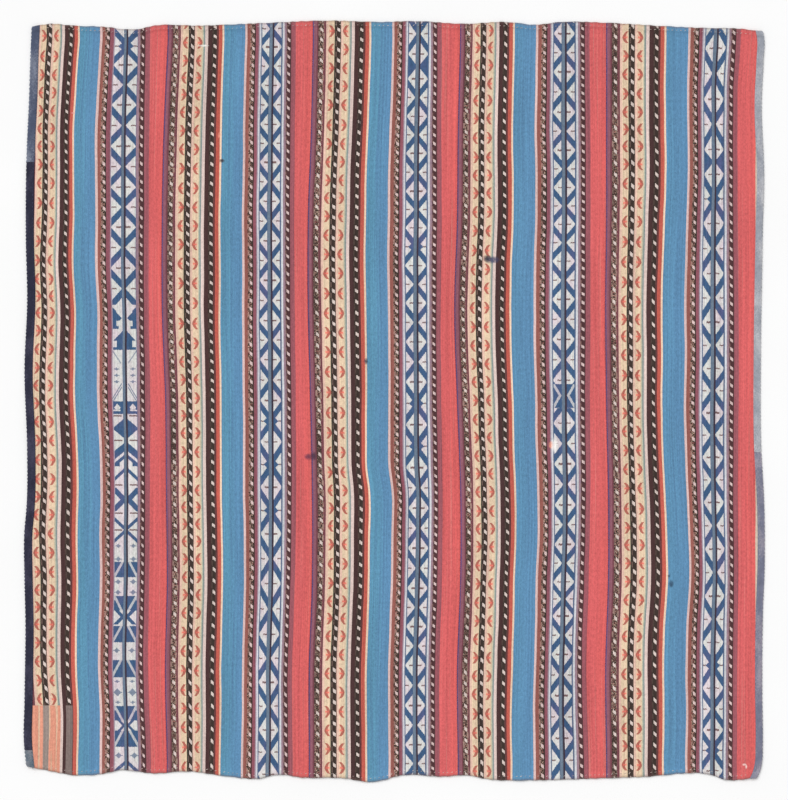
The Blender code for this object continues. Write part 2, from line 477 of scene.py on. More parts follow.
class Finish:
    """One material and its nodes."""

    def __init__(self, name):
        self.material = bpy.data.materials.new(name)
        self.material.use_nodes = True
        self.nodes = self.material.node_tree.nodes
        self.links = self.material.node_tree.links
        self.shader = self.nodes["Principled BSDF"]

    def add(self, kind, settings=None, sockets=None, output=0):
        """A node of this kind, set up, then fed. Gives back one of its outputs."""
        node = self.nodes.new(kind)
        for name, value in (settings or {}).items():
            if name == "stops":
                self.set_stops(node.color_ramp, value)
            else:
                setattr(node, name, value)
        for name, value in (sockets or {}).items():
            self.feed(node.inputs[name], value)
        return Number(self, node.outputs[output])

    def feed(self, socket, value):
        if isinstance(value, Number):
            self.links.new(value.socket, socket)
        else:
            socket.default_value = value

    def set_stops(self, colour_ramp, stops):
        colour_ramp.interpolation = "CONSTANT"
        while len(colour_ramp.elements) > 1:
            colour_ramp.elements.remove(colour_ramp.elements[-1])
        for number, (position, colour) in enumerate(stops):
            stop = colour_ramp.elements[0] if number == 0 else colour_ramp.elements.new(position)
            stop.position = position
            stop.color = colour

    def place_on_cloth(self):
        """Across and along the weave, in millimetres."""
        cloth = self.add("ShaderNodeUVMap", {"uv_map": "cloth"})
        across = self.add("ShaderNodeSeparateXYZ", {}, {0: cloth}, 0)
        along = self.add("ShaderNodeSeparateXYZ", {}, {0: cloth}, 1)
        return across * (1.0 / MM), along * (1.0 / MM)

    def place_in_room(self):
        """The piece's own X and Y, in millimetres."""
        place = self.add("ShaderNodeTexCoord", {}, {}, OBJECT_PLACE)
        x = self.add("ShaderNodeSeparateXYZ", {}, {0: place}, 0)
        y = self.add("ShaderNodeSeparateXYZ", {}, {0: place}, 1)
        return x * (1.0 / MM), y * (1.0 / MM)

    def attribute(self, name):
        return self.add("ShaderNodeAttribute", {"attribute_name": name}, {}, FACTOR_OUT)

    def noise(self, across, along, seed, detail=2.0, roughness=0.5):
        """Smooth noise round 0.5, on a place given in steps of its own grain."""
        place = self.add("ShaderNodeCombineXYZ", {}, {0: across, 1: along, 2: float(seed)})
        sockets = {"Vector": place, "Scale": 1.0, "Detail": detail, "Roughness": roughness}
        return self.add("ShaderNodeTexNoise", {"noise_dimensions": "3D"}, sockets)

    def chance(self, number, seed):
        """An even chance from 0 to 1 for each whole number."""
        place = self.add("ShaderNodeCombineXYZ", {}, {0: number, 1: float(seed), 2: 0.0})
        return self.add("ShaderNodeTexWhiteNoise", {"noise_dimensions": "3D"}, {"Vector": place})

    def over(self, below, above, mask):
        """One colour laid over another where the mask is 1."""
        sockets = {0: mask, MIX_BELOW: below, MIX_ABOVE: above}
        return self.add("ShaderNodeMix", {"data_type": "RGBA"}, sockets, MIXED)

    def shaded(self, colour, factor):
        """A colour made lighter or darker by a factor round 1."""
        grey = self.add("ShaderNodeCombineXYZ", {}, {0: factor, 1: factor, 2: factor})
        settings = {"data_type": "RGBA", "blend_type": "MULTIPLY"}
        return self.add("ShaderNodeMix", settings, {0: 1.0, MIX_BELOW: colour, MIX_ABOVE: grey}, MIXED)

    def close(self, colour, height, distance, roughness=0.92, sheen=0.0):
        """Feeds the shader: matt cloth, with the height as a bump."""
        self.feed(self.shader.inputs["Base Color"], colour)
        self.feed(self.shader.inputs["Roughness"], roughness)
        self.shader.inputs["Specular IOR Level"].default_value = CLOTH_SHINE
        self.shader.inputs["Sheen Weight"].default_value = sheen
        self.shader.inputs["Sheen Roughness"].default_value = NAP_SPREAD
        bump = self.add("ShaderNodeBump", {}, {"Height": height, "Distance": distance, "Strength": 1.0})
        self.feed(self.shader.inputs["Normal"], bump)
        return self.material


def dyed(red, green, blue):
    """A yarn colour given as on a screen, 0 to 255, turned into the light that it reflects."""
    shares = [c / 255.0 for c in (red, green, blue)]
    linear = [c / 12.92 if c < 0.04045 else ((c + 0.055) / 1.055) ** 2.4 for c in shares]
    return (*linear, 1.0)


# %% Floor finish
PAPER_TONES = ((0.93, 0.93, 0.93, 1.0), (0.97, 0.97, 0.97, 1.0))
PAPER_CLOUD = 300.0

paper = Finish("pale_floor")
floor_x, floor_y = paper.place_in_room()
floor_grain = paper.noise(floor_x / PAPER_CLOUD, floor_y / PAPER_CLOUD, 3)
floor_tone = paper.over(*PAPER_TONES, floor_grain)
floor_mesh.materials.append(paper.close(floor_tone, floor_grain, 0.0))

# %% [markdown]
# All five strips were warped to the same plan, so one table gives the stripes of a strip from
# its left selvedge to its right: the yarn and the width that it shows. The broad blue and
# red bands divide the narrow stripes into two groups. The first has three black stripes with
# leaning white dashes, with cream ones between them. The second has a lattice in blue and
# white. The first strip was warped a little differently, with a wider lattice and no white
# lines beside it.

# %% Yarn colours and the warping plan
PATTERN_YARNS = {
    "teal": dyed(91, 147, 173),
    "warm red": dyed(222, 98, 92),
    "faded red": dyed(196, 138, 128),
    "red fleck": dyed(160, 84, 84),
    "pale fleck": dyed(206, 184, 160),
    "large dash": dyed(216, 200, 192),
    "beside large dash": dyed(160, 130, 120),
    "small dash": dyed(216, 192, 188),
    "beside small dash": dyed(170, 132, 122),
    "chevron": dyed(172, 76, 68),
    "chevron hollow": dyed(236, 164, 142),
    "chevron dash": dyed(232, 116, 102),
    "white lattice": dyed(214, 214, 210),
    "pinkish lattice": dyed(216, 203, 208),
    "blue lattice": dyed(62, 92, 128),
    "violet lattice": dyed(84, 91, 132),
    "lattice dash": dyed(122, 96, 96),
    "salmon": dyed(224, 152, 128),
    "pale salmon": dyed(216, 180, 152),
    "plain grey": dyed(150, 135, 128),
    "plain brown": dyed(128, 112, 108),
    # A darker colour laid within a few millimetres of each end of the strips
    "worn": dyed(112, 92, 88),
}
YARNS = {
    # Partly blue-violet yarn, partly painted shade of the seam beside it
    "blue violet with painted seam shade": dyed(94, 76, 124),
    "violet": dyed(142, 88, 104),
    "plum": dyed(143, 91, 104),
    "maroon": dyed(116, 66, 75),
    "black": dyed(60, 48, 43),
    "pale pink": dyed(228, 190, 172),
    "cream": dyed(226, 200, 170),
    "green black": dyed(66, 72, 58),
    "light green": dyed(184, 186, 164),
    "grey blue": dyed(136, 148, 146),
    "pink white": dyed(223, 200, 193),
    "dark brown": dyed(74, 49, 49),
    "burnt brown": dyed(100, 54, 55),
    "orange red": dyed(193, 93, 80),
    "straw": dyed(236, 206, 178),
    "blue": dyed(94, 140, 178),
    "rose white": dyed(220, 188, 184),
    "red brown": dyed(148, 90, 82),
    "crimson": dyed(143, 84, 96),
    "mist": dyed(160, 142, 155),
    "white": dyed(208, 209, 214),
    "slate": dyed(116, 126, 146),
    "lattice": dyed(64, 88, 124),
    "smoke blue": dyed(106, 122, 140),
    "night": dyed(60, 50, 64),
    "grey purple": dyed(152, 124, 137),
    "dark maroon": dyed(78, 50, 52),
    "red plum": dyed(156, 88, 97),
    "red": dyed(213, 98, 99),
    "beige": dyed(214, 196, 176),
}
# The first stripe lies at the left selvedge beside the seam: partly yarn, partly painted seam shade
FIRST_GROUP = (
    ("blue violet with painted seam shade", 2.3), ("violet", 1.9), ("plum", 4.3), ("maroon", 2.7), ("black", 12.0),
    ("maroon", 5.4), ("pale pink", 4.8), ("cream", 12.8), ("green black", 1.4), ("black", 12.4),
    ("pale pink", 4.4), ("cream", 13.0), ("light green", 2.2), ("grey blue", 2.9),
    ("pink white", 6.7), ("dark brown", 9.4), ("black", 10.3), ("burnt brown", 3.9),
    ("orange red", 7.6), ("straw", 4.2), ("blue", 23.9),
)
SECOND_GROUP = (
    ("blue", 22.5), ("rose white", 5.2), ("red brown", 6.0), ("black", 12.4), ("crimson", 7.0),
    ("mist", 1.8), ("white", 4.0), ("slate", 1.2), ("lattice", 17.4), ("smoke blue", 6.2),
    ("night", 4.2), ("lattice", 17.4), ("slate", 1.2), ("white", 4.4), ("grey purple", 5.2),
    ("dark maroon", 10.6), ("red plum", 9.2), ("red", 33.7), ("beige", 40.0),
)
FIRST_STRIP_SECOND_GROUP = (
    ("blue", 23.6), ("rose white", 5.2), ("red brown", 6.4), ("black", 11.4), ("crimson", 7.6),
    ("mist", 2.3), ("lattice", 21.4), ("smoke blue", 5.4), ("night", 4.0), ("lattice", 21.4),
    ("grey purple", 5.4), ("dark maroon", 11.2), ("red plum", 10.6), ("red", 33.7),
    ("beige", 40.0),
)
# How much narrower the pattern of the lattice is than its stripe
LATTICE_ROOM = 0.6
BLUE_MIDDLE = sum(width for _, width in FIRST_GROUP)
STRIP_WIDTH = BLUE_MIDDLE + sum(width for _, width in SECOND_GROUP[:-1])
FIRST_STRIP_WIDTH = BLUE_MIDDLE + sum(width for _, width in FIRST_STRIP_SECOND_GROUP[:-1])
assert abs(FIRST_STRIP_WIDTH - STRIP_WIDTH) < 0.01
print("warped width of a strip, mm:", round(STRIP_WIDTH, 1), "blue middle at", round(BLUE_MIDDLE, 1))


def lattice_span(group):
    """The middle of the lattice, half the width of its middle line, and the width of one side."""
    names = [yarn for yarn, _ in group]
    widths = [width for _, width in group]
    line = names.index("smoke blue")
    half_line = (widths[line] + widths[line + 1]) / 2
    start = BLUE_MIDDLE + sum(widths[:line])
    return start + half_line, half_line, min(widths[line - 1], widths[line + 2]) - LATTICE_ROOM


def stripe_stops(group, start):
    """The stops of a colour ramp that spans one group."""
    whole = sum(width for _, width in group)
    stops = []
    at = 0.0
    for yarn, width in group:
        stops.append((at / whole, YARNS[yarn]))
        at += width
    return stops, start, whole


# %% [markdown]
# The dashes, chevrons and lattice repeat along a strip, but a weaver beats some parts of the
# cloth tighter than others, so the steps differ. For each kind of motif a row of places is
# laid out along the strip, with the step taken from a short table and a small seeded
# wobble. Each point of the cloth then carries how many steps lie below it, and how long the
# step is there. The material only has to look at the fraction.

# %% Steps of the motifs
# Motifs are laid out to this height above and below the rug's middle, past both its ends
SPAN = 845.0
# Steps in millimetres at five heights, from the lower end of each strip to its upper end
STEP_HEIGHTS = (-800, -400, 0, 400, 800)
LARGE_DASH_STEPS = (
    (28.5, 26.0, 24.0, 22.5, 21.0),
    (26.5, 24.0, 22.0, 21.5, 21.5),
    (23.0, 23.5, 24.0, 23.0, 22.5),
    (25.5, 23.5, 21.5, 23.0, 24.0),
    (25.0, 25.0, 25.0, 25.0, 25.0),
)
SMALL_DASH_STEPS = (
    (20.5, 20.0, 20.0, 20.0, 20.0),
    (22.0, 21.0, 20.0, 19.3, 18.7),
    (18.5, 18.3, 18.3, 18.3, 18.3),
    (22.0, 20.5, 19.5, 18.5, 18.0),
    (20.0, 20.0, 20.0, 20.0, 20.0),
)
CHEVRON_STEPS = (
    (40.0, 40.0, 40.0, 41.0, 42.0),
    (42.0, 40.0, 40.5, 41.5, 40.0),
    (40.0, 39.5, 43.0, 43.0, 41.0),
    (42.0, 41.0, 40.0, 39.5, 39.0),
    (41.0, 41.0, 41.0, 41.5, 42.0),
)
LATTICE_STEPS = (
    (84.0, 84.0, 90.0, 90.0, 84.0),
    (98.0, 112.0, 92.0, 84.0, 83.0),
    (82.0, 88.0, 92.0, 81.0, 90.0),
    (103.0, 78.0, 92.0, 83.0, 87.0),
    (84.0, 103.0, 96.0, 108.0, 110.0),
)
# A height on the rug where a diamond of each strip lies
LATTICE_MEETS = (561.0, 440.0, 462.0, 389.0, 391.0)
# Where two diamonds follow each other without a triangle between, as heights on the rug
DOUBLE_DIAMONDS = ((), (), (700.0,), (), (480.0,))
DOUBLE_STEP = 54.0


def motif_places(steps, wobble, seed, meets=None, doubles=()):
    """Heights of the middles of the motifs, from below the rug to above it."""
    chance = np.random.default_rng(seed)
    places = [chance.uniform(-20, 20) if meets is None else meets]
    waiting = sorted(doubles)
    while places[-1] < SPAN:
        here = places[-1]
        step = np.interp(here, STEP_HEIGHTS, steps) * (1 + wobble * chance.uniform(-1, 1))
        if waiting and here > waiting[0]:
            waiting.pop(0)
            step = DOUBLE_STEP
        places.append(here + step)
    while places[0] > -SPAN:
        here = places[0]
        step = np.interp(here, STEP_HEIGHTS, steps) * (1 + wobble * chance.uniform(-1, 1))
        places.insert(0, here - step)
    return np.array(places)


def steps_below(places, y):
    """How many motifs lie below y, as a running number, and the step there."""
    count = np.interp(y, places, np.arange(len(places)))
    index = np.clip(np.searchsorted(places, y) - 1, 0, len(places) - 2)
    return count, np.diff(places)[index]


def motif_attributes(number, y):
    """The running numbers and steps that the weave of one strip needs, at each point."""
    i = number - 1
    large = motif_places(LARGE_DASH_STEPS[i], 0.07, 10 + number)
    small = motif_places(SMALL_DASH_STEPS[i], 0.06, 20 + number)
    chevron = motif_places(CHEVRON_STEPS[i], 0.10, 30 + number)
    lattice = motif_places(LATTICE_STEPS[i], 0.04, 40 + number, LATTICE_MEETS[i], DOUBLE_DIAMONDS[i])
    values = {}
    values["large_dash"], _ = steps_below(large, y)
    values["small_dash"], _ = steps_below(small, y)
    values["chevron"], values["chevron_step"] = steps_below(chevron, y)
    values["lattice"], values["lattice_step"] = steps_below(lattice, y)
    return values


# %% [markdown]
# The weave itself. Warp-faced cloth shows only its lengthwise threads, and a pattern thread
# floats over a few wefts to make a motif, so every slanting side of a motif is a fine stair,
# one warp thread to a step. The expressions below work on the number of the thread, which
# gives that stair. The dyer's wool was not even either: each thread is a little lighter or
# darker than the next, and the shade drifts along it.

# %% Motifs of the weave
THREAD = 0.8
DASH_LEAN = 0.73


def dashes(across, along, middle, width, share, step):
    """Leaning dashes down one stripe. The share is how much of each step one takes."""
    aside = across - middle
    lean = along.part() - 0.5 + aside * (DASH_LEAN / step)
    return (abs(aside) < width / 2) * (abs(lean) < share / 2)


CHEVRON_CURVE = 0.037
CHEVRON_SLOPE = 0.05
CHEVRON_NOSE = 3.2
CHEVRON_STROKE = 3.5
CHEVRON_TAPER = 0.06
CHEVRON_REACH = 12.8
HOLLOW_START = -2.4
HOLLOW_BACK = -5.0
HOLLOW_FADE = 0.11
CHEVRON_DASH = (-3.8, 3.4, 1.7)


def chevrons(across, along, step, middle, facing):
    """A bent stroke, the lighter wool in its hollow, and a bright dash in it. Facing is 1 or -1."""
    aside = (across - middle) * facing
    up = abs((along.part() - 0.5) * step)
    depth = aside + up * up * CHEVRON_CURVE + up * CHEVRON_SLOPE - CHEVRON_NOSE
    strokes = (abs(depth) < CHEVRON_STROKE - up * CHEVRON_TAPER) * (up < CHEVRON_REACH)
    hollow = (depth < HOLLOW_START) * (aside > HOLLOW_BACK) * (1.0 - up * HOLLOW_FADE)
    back, front, half = CHEVRON_DASH
    dash = (up < half) * (aside < front) * (aside > back)
    return strokes, hollow | 0.0, dash


# Sizes of the diamonds and triangles as shares of a step, which counts as no less than this
LEAST_ROOM = 80.0
DIAMOND_HALF = 0.276
DIAMOND_SLOPE = 0.26
TRIANGLE_HALF = 0.010
TRIANGLE_SLOPE = 0.256
# Two diamonds nearer to each other than this have no triangle between them
TRIANGLE_STEP = 66.0
FILLED_HALF = 11.0
FILLED_SLOPE = 17.0
MIDDLE_DASH = 1.2
SIDE_DASH = 1.4


def lattice(across, along, step, middle, gap, width, bold, filled):
    """White diamonds on the middle line, white triangles half-way between, and their short dashes."""
    outward = (abs(across - middle) - gap) / width
    part = along.part()
    from_diamond = (part & (1.0 - part)) * step
    from_triangle = abs(part - 0.5) * step
    room = step | LEAST_ROOM
    wide_step = step > TRIANGLE_STEP
    diamond = from_diamond < room * (DIAMOND_HALF - outward * DIAMOND_SLOPE)
    triangle = (from_triangle < room * (outward * TRIANGLE_SLOPE + TRIANGLE_HALF)) * wide_step
    blue_core = (from_triangle < FILLED_HALF - outward * FILLED_SLOPE) * filled
    triangle = triangle * (1.0 - blue_core)
    near_middle = (from_diamond < MIDDLE_DASH + bold) * (outward < 0.5)
    near_side = (from_triangle < SIDE_DASH) * (outward > 0.5) * wide_step
    return diamond | triangle, near_middle | near_side


# %% [markdown]
# In the first strip the weaver left the plain lattice below the middle and wove a row of
# other old figures: solid triangles, crosses, stars and blocks. The fourth strip has a short
# run of them. Each is a simple shape mirrored in the middle line, given here by its kind,
# its height on the rug and its size.

# %% Shapes of the figures
# All are masks. Aside is the distance from the middle line, up the height over the middle of
# the figure, and size half its height. The numbers are millimetres and slopes.
STEEP_SLOPE = 0.95
BAR_SLOPE = 0.9
ROOF_SLOPE = 0.8
TENT_SLOPE = 0.55
TENT_BAND = 6.0
BAR_HALF = 4.8
SEED_PLACE = 12.5
# How blue the narrow bands inside a banded tent are, from 0 for white to 1
BAND_SHADE = 0.28
# How blue the figures in thin thread look
THIN_SHADE = 0.75
THINNER_SHADE = 0.6


def hooked_side(aside, up, size):
    height = abs(up)
    tooth = (aside > height * STEEP_SLOPE + 1.0) * (up > -6.0) | (aside > 13.0)
    foot = (abs(up + size - 3.0) < 3.5) * (aside > 8.0)
    return (tooth | foot) * (height < size) * (aside > (up - 2.0) * STEEP_SLOPE)


def hooked_tent(aside, up, size):
    roof = aside < (size - up) * BAR_SLOPE
    return roof * ((up > -1.0) | (aside < 12.0) | (up < -size + 6.0)) * (aside < 20.0)


def bitten_block(aside, up, size):
    bite = (abs(aside - 12.0) + abs(up) * ROOF_SLOPE < 7.0) * (up > -4.0)
    slit = (abs(up + 6.0) < 1.6) * (aside > 6.0)
    return 1.0 - (bite | slit)


def wide_roof(aside, up, size):
    slanted = up + aside * ROOF_SLOPE
    roof = (slanted < size) * (slanted > size - 19.0)
    under = (slanted < size - 26.0) * (slanted > size - 35.0) * (up > -24.0)
    foot = (abs(up + 20.0) < 4.0) * (aside > 10.0)
    return roof | under | foot


def lozenge(aside, up, size):
    return abs(up) + aside * 0.86 < size


def cross(aside, up, size):
    return abs(abs(up) - aside) < size * 0.32


def bar_up(aside, up, size):
    return abs(up + aside * BAR_SLOPE) < BAR_HALF


def bar_down(aside, up, size):
    return abs(up - aside * BAR_SLOPE) < BAR_HALF


def wedge_up(aside, up, size):
    lines = abs(abs(up + (aside - 11.0) * 1.7) - 4.0) < 2.1
    return lines * (aside > 2.0) * THIN_SHADE


def wedge_down(aside, up, size):
    return (abs(up - (aside - 11.0) * 1.5) < 2.4) * (aside > 3.0) * THINNER_SHADE


def seeds(aside, up, size):
    from_seed = abs(aside - SEED_PLACE)
    height = abs(up)
    stalk = (height < 1.0) * (from_seed < size + 2.0)
    return ((from_seed + height < size) | stalk) * THIN_SHADE


def banded_tent(aside, up, size):
    inner = aside < (size - up) * TENT_SLOPE
    outer = (aside > (size - up) * TENT_SLOPE + TENT_BAND) * (up > -size * 0.4)
    return inner | outer | BAND_SHADE


def banded_tent_down(aside, up, size):
    inner = aside < (size + up) * TENT_SLOPE
    outer = (aside > (size + up) * TENT_SLOPE + TENT_BAND) * (up < size * 0.4)
    return inner | outer | BAND_SHADE


def brown_dash(aside, up, size):
    return (abs(up) < 1.6) * (aside > 3.0) * (aside < 3.0 + size)


# %% Figures of the first and fourth strips
FIGURES = (
    (hooked_side, 183, 24), (hooked_tent, 134, 21), (wedge_down, 96, 22),
    (seeds, 71, 4), (seeds, 57, 4), (seeds, 43, 4), (wedge_up, 20, 20),
    (bitten_block, -14, 14), (brown_dash, -32, 18), (lozenge, -60, 21), (brown_dash, -86, 18),
    (wide_roof, -119, 27), (bar_up, -152, 26), (brown_dash, -184, 18), (cross, -216, 26),
    (brown_dash, -246, 18), (bar_down, -278, 26), (brown_dash, -283, 18), (bar_up, -288, 26),
    (seeds, -318, 5), (seeds, -347, 6), (banded_tent, -370, 17), (seeds, -397, 6),
    (seeds, -420, 6), (banded_tent_down, -444, 16), (cross, -474, 17),
    (banded_tent, -512, 18), (seeds, -548, 6), (banded_tent, -588, 19), (seeds, -616, 4),
    (seeds, -640, 9), (seeds, -662, 4), (banded_tent_down, -686, 16), (cross, -713, 12),
    (banded_tent, -742, 18), (seeds, -779, 7), (bar_up, -796, 24),
)
FEW_FIGURES = ((banded_tent_down, 25, 13), (banded_tent, -1, 14))
# For each strip that has figures: where they start and end, and the figures
FIGURE_ROWS = {1: (-900.0, 212.0, FIGURES), 4: (-15.0, 38.0, FEW_FIGURES)}


# %% Places of the motifs, and marks left by use
# The middle of each row of dashes, the width of a dash, and its share of the step
LARGE_DASHES = ((18.9, 6.6, 0.30), (55.0, 6.4, 0.32), (104.7, 6.8, 0.30))
SMALL_DASHES = ((189.7, 5.4, 0.36), (270.0, 4.8, 0.33))
FIRST_SMALL_DASHES = ((190.7, 5.4, 0.36), (268.7, 4.8, 0.33))
LARGE_DASH_STEP = 23.0
SMALL_DASH_STEP = 20.0
# The ragged stripes, where the floats of the pattern show as flecks, and how far they reach
FLECKED = ((LARGE_DASHES[0][0], 6.0), (SMALL_DASHES[0][0] - 2.0, 4.2))
# The middle of each row of chevrons, and the way that its first one faces
CHEVRON_ROWS = ((40.2, 1.0), (70.6, -1.0))
# How many chevrons turn about one by one before the weaver lost count
CHEVRON_RUN = 6.0
# How much of the greener blue shows. In three strips it was used for most of the band.
TEAL_SHARES = {1: 0.8, 2: 0.8, 3: 0.8, 4: 0.35, 5: 0.35}
# The corner where the pattern stops, and the middle and half width of two stripes in it
PLAIN_CORNER_TOP = -669.0
PLAIN_CORNER_SIDE = 84.0
PLAIN_GREY = (52.0, 6.5)
PLAIN_BROWN = (104.0, 7.0)
# How far from each end the cloth is made darker
DARKENED_END_DEPTH = 5.5
# Colour of a mark, its place on the rug in millimetres, and its reach across and along
MARKS = {
    1: ((dyed(226, 160, 156), -706, 634, 5.0, 1.8),),
    2: ((dyed(240, 238, 232), -420, 782, 13.0, 2.6), (dyed(62, 48, 52), -379, 529, 6.5, 5.0),
        (dyed(238, 150, 130), -385, 585, 3.6, 6.5), (dyed(110, 60, 80), -188, -122, 12.0, 8.0)),
    3: ((dyed(48, 62, 80), -62, 88, 5.0, 8.0), (dyed(58, 46, 44), -75, 614, 5.0, 18.0),
        (dyed(72, 50, 68), -178, -121, 8.0, 11.0)),
    4: ((dyed(72, 72, 104), 215, 311, 18.0, 9.0), (dyed(42, 40, 60), 204, 314, 10.0, 9.0),
        (dyed(238, 158, 132), 345, -96, 6.0, 9.0), (dyed(252, 248, 244), 353, -97, 8.5, 18.0)),
    5: ((dyed(244, 212, 206), 770, -799, 5.0, 2.8), (dyed(244, 212, 206), 774, -804, 2.4, 5.2),
        (dyed(52, 76, 100), 609, -402, 6.0, 9.0), (dyed(60, 86, 108), 604, -384, 3.5, 4.0)),
}


# %% Wool of one strip
# Each kind of unevenness: its grain across and along the weave, its seed, detail and roughness
GRAINS = {
    "streak": (3.4, 420.0, 50, 3.0, 0.6),
    "faded": (2.2, 500.0, 55, 2.0, 0.5),
    "drift": (46.0, 260.0, 60, 2.0, 0.5),
    "heather": (1.7, 4.5, 70, 2.0, 0.7),
    "fleck": (1.5, 3.6, 35, 1.0, 0.5),
    "pinkish": (30.0, 55.0, 80, 2.0, 0.5),
    "mottle": (4.2, 8.0, 85, 1.0, 0.5),
    "cord": (1.9, 60.0, 90, 1.0, 0.5),
    "weft": (6.0, 2.2, 95, 1.0, 0.5),
}
# Where the dye of the two broad bands changes, and how slowly, across the weave
BLUE_HALF = 22.5
RED_WIDTH = 34.0
TEAL_SIDE = BLUE_MIDDLE + 1.0
WARM_SIDE = STRIP_WIDTH - 20.0
SHADE_WIDTH = 26.0
# The waver of the threads and the raggedness of the flecks are long along the weave
WAVER_GRAIN = (95.0, 40.0)
WAVER_REACH = 2.4
RAGGED_GRAIN = (170.0, 90.0)
PLAIN_GRAIN = (6.0, 300.0)
MARK_GRAIN = 4.0
WOOL_RELIEF = 0.0011


class Wool:
    """The finish of one strip. Each method lays one thing over the colour so far."""

    def __init__(self, number):
        self.number = number
        self.finish = Finish(f"woven_wool_{number}")
        self.across, self.along = self.finish.place_on_cloth()
        length, width = WAVER_GRAIN
        waver = self.finish.noise(self.along / length, self.across / width, number, 2.0)
        self.across = self.across + (waver - 0.5) * WAVER_REACH
        thread = (self.across / THREAD).whole()
        self.stair = thread * THREAD + THREAD / 2
        self.jump = self.finish.chance(thread, number) - 0.5
        self.streak = self.grain("streak")
        self.heather = self.grain("heather")
        length, width = RAGGED_GRAIN
        ragged = self.finish.noise(self.along / length, self.across / width, 30 + number)
        self.ragged = ((ragged - 0.36) * 6.0).held()
        self.colour = None

    def grain(self, name):
        width, length, seed, detail, roughness = GRAINS[name]
        place = (self.across / width, self.along / length)
        return self.finish.noise(*place, seed + self.number, detail, roughness)

    def lay(self, above, mask):
        """Lays a yarn, or a colour that changes, over the colour so far."""
        if isinstance(above, str):
            above = PATTERN_YARNS[above]
        self.colour = self.finish.over(self.colour, above, mask)

    def mixed(self, below, above, share):
        return self.finish.over(PATTERN_YARNS[below], PATTERN_YARNS[above], share)

    def within(self, middle, half_width):
        """The threads no farther from a stripe's middle than this."""
        return abs(self.stair - middle) < half_width

    def stripes(self, second_group):
        ramps = []
        for group, group_start in ((FIRST_GROUP, 0.0), (second_group, BLUE_MIDDLE)):
            stops, start, whole = stripe_stops(group, group_start)
            place = (self.stair - start) / whole
            ramps.append(self.finish.add("ShaderNodeValToRGB", {"stops": stops}, {"Fac": place}))
        self.colour = self.finish.over(ramps[0], ramps[1], self.stair > BLUE_MIDDLE)

    def dyeing(self):
        """Greener wool in the blue band, warmer wool and faded threads in the red one."""
        in_blue = self.within(BLUE_MIDDLE, BLUE_HALF)
        teal = (TEAL_SIDE - self.across) / SHADE_WIDTH + (self.streak - 0.5) * 3.0 + 0.35
        self.lay("teal", in_blue * teal.held() * TEAL_SHARES[self.number])
        in_red = (self.stair > STRIP_WIDTH - RED_WIDTH) * (self.stair < STRIP_WIDTH)
        warm = (self.across - WARM_SIDE) / SHADE_WIDTH + (self.streak - 0.5) * 2.0
        self.lay("warm red", in_red * warm.held() * 0.7)
        faded = (self.grain("faded") - 0.60) * 9.0
        self.lay("faded red", in_red * faded.held() * 0.6)

    def flecks(self):
        """Loose floats on the two ragged stripes."""
        fleck = (self.grain("fleck") > 0.55) * (self.ragged * 0.6 + 0.3)
        yarn = self.mixed("red fleck", "pale fleck", ((self.heather - 0.44) * 8.0).held())
        for middle, half_width in FLECKED:
            self.lay(yarn, fleck * self.within(middle, half_width))

    def large_dashes(self):
        """White dashes on the black stripes, and the paler threads that float between them."""
        large = self.finish.attribute("large_dash") + self.jump * 0.07
        between = large + 0.5
        floats = self.ragged * self.finish.chance(between.whole(), 3 * self.number) * 1.3 & 1.0
        for (middle, width, share), edge, strength in zip(LARGE_DASHES, (1.9, 1.3, 1.3), (floats, 0.35, 0.1)):
            aside = self.stair - middle
            beside = (abs(abs(aside) - 4.7) < edge) * (abs(between.part() - 0.5 + aside * 0.02) < 0.24)
            self.lay("beside large dash", beside * (self.heather > 0.36) * strength)
            self.lay("large dash", dashes(self.stair, large, middle, width, share, LARGE_DASH_STEP))

    def small_dashes(self):
        small = self.finish.attribute("small_dash") + self.jump * 0.07
        rows = FIRST_SMALL_DASHES if self.number == 1 else SMALL_DASHES
        for (middle, width, share), strength in zip(rows, (self.ragged * 0.4 + 0.5, 0.35)):
            beside = self.within(middle - 4.9, 1.9) * (abs((small + 0.6).part() - 0.5) < 0.26)
            self.lay("beside small dash", beside * (self.heather > 0.40) * strength)
            self.lay("small dash", dashes(self.stair, small, middle, width, share, SMALL_DASH_STEP))

    def chevron_rows(self):
        count = self.finish.attribute("chevron") + self.jump * 0.03
        step = self.finish.attribute("chevron_step")
        lost = self.finish.chance((count / CHEVRON_RUN).whole(), 5 * self.number) > 0.5
        turned = abs(count.whole() % 2.0 - lost) * 2.0 - 1.0
        for middle, way in CHEVRON_ROWS:
            strokes, hollow, dash = chevrons(self.stair, count, step, middle, turned * way)
            self.lay("chevron hollow", hollow * 0.85)
            self.lay("chevron", strokes * (0.62 + self.heather * 0.5))
            self.lay("chevron dash", dash * 0.8)

    def figures(self, aside, pale, marks):
        """Where this strip has figures, they take the place of the lattice."""
        low, high, figures = FIGURE_ROWS[self.number]
        there = (self.along > low) * (self.along < high)
        marks = marks * (1.0 - there)
        shapes = 0.0
        for shape_of, height, size in figures:
            up = self.along - float(height) + self.jump * 1.5
            shape = shape_of(aside, up, float(size)) * (abs(up) < float(size))
            if shape_of is brown_dash:
                marks = shape | marks
            else:
                shapes = shape | shapes
        return pale * (1.0 - there) + there * (1.0 - shapes), marks

